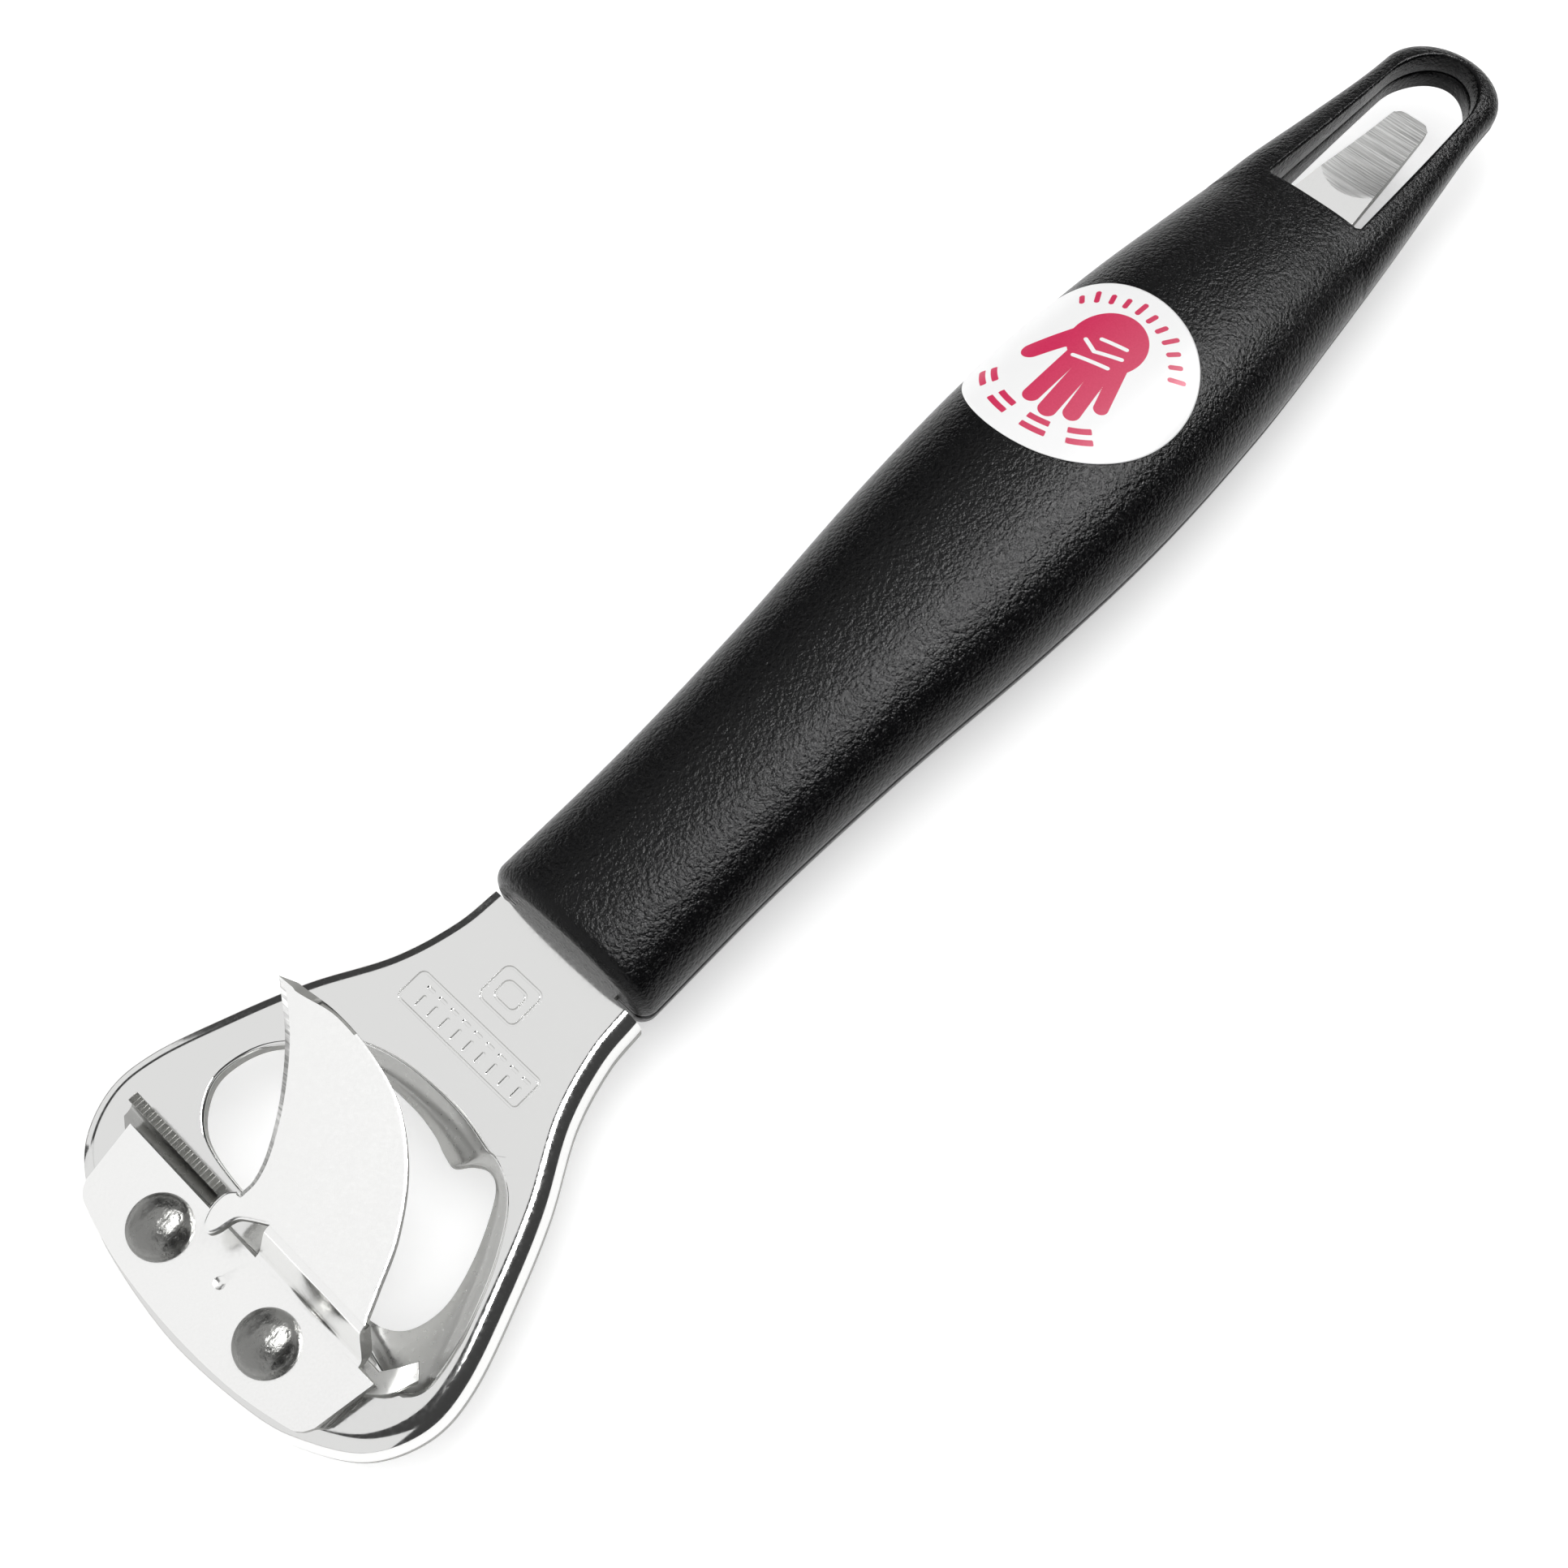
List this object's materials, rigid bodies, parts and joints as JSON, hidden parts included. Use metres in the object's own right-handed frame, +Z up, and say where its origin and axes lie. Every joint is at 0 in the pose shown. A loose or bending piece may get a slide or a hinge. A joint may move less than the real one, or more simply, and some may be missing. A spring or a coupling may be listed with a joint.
{
  "type": "manual can opener",
  "caption": "Left-handed lever can opener: stamped steel head with hooked blade and crown-cap window, tab lifter in the loop of a black two-shell handle.",
  "frame": {"origin": "centre of the tool's outline in plan, at the height of the surface that it lies on", "axes": "+X from the head towards the hanging loop, +Y to the left of that, +Z up, out of the blade's side"},
  "size_m": [0.1999, 0.0434, 0.0176],
  "materials": {
    "polished_stainless": "mirror polished, with a sheared edge round the rim",
    "hardened_stainless": "bright polished, with a ground cutting edge",
    "grip_stainless": "bright, with stamped teeth",
    "rivet_stainless": "tumbled, with set dome heads",
    "black_plastic": "moulded with a fine leather grain",
    "label_paper": "coated white paper with a crimson print"
  },
  "bodies": {
    "root": {"head_plate": "polished_stainless", "blade": "hardened_stainless", "grip_plate": "grip_stainless", "rivet_left": "rivet_stainless", "rivet_right": "rivet_stainless", "handle_upper_shell": "black_plastic", "handle_lower_shell": "black_plastic", "label": "label_paper"}
  },
  "joints": []
}
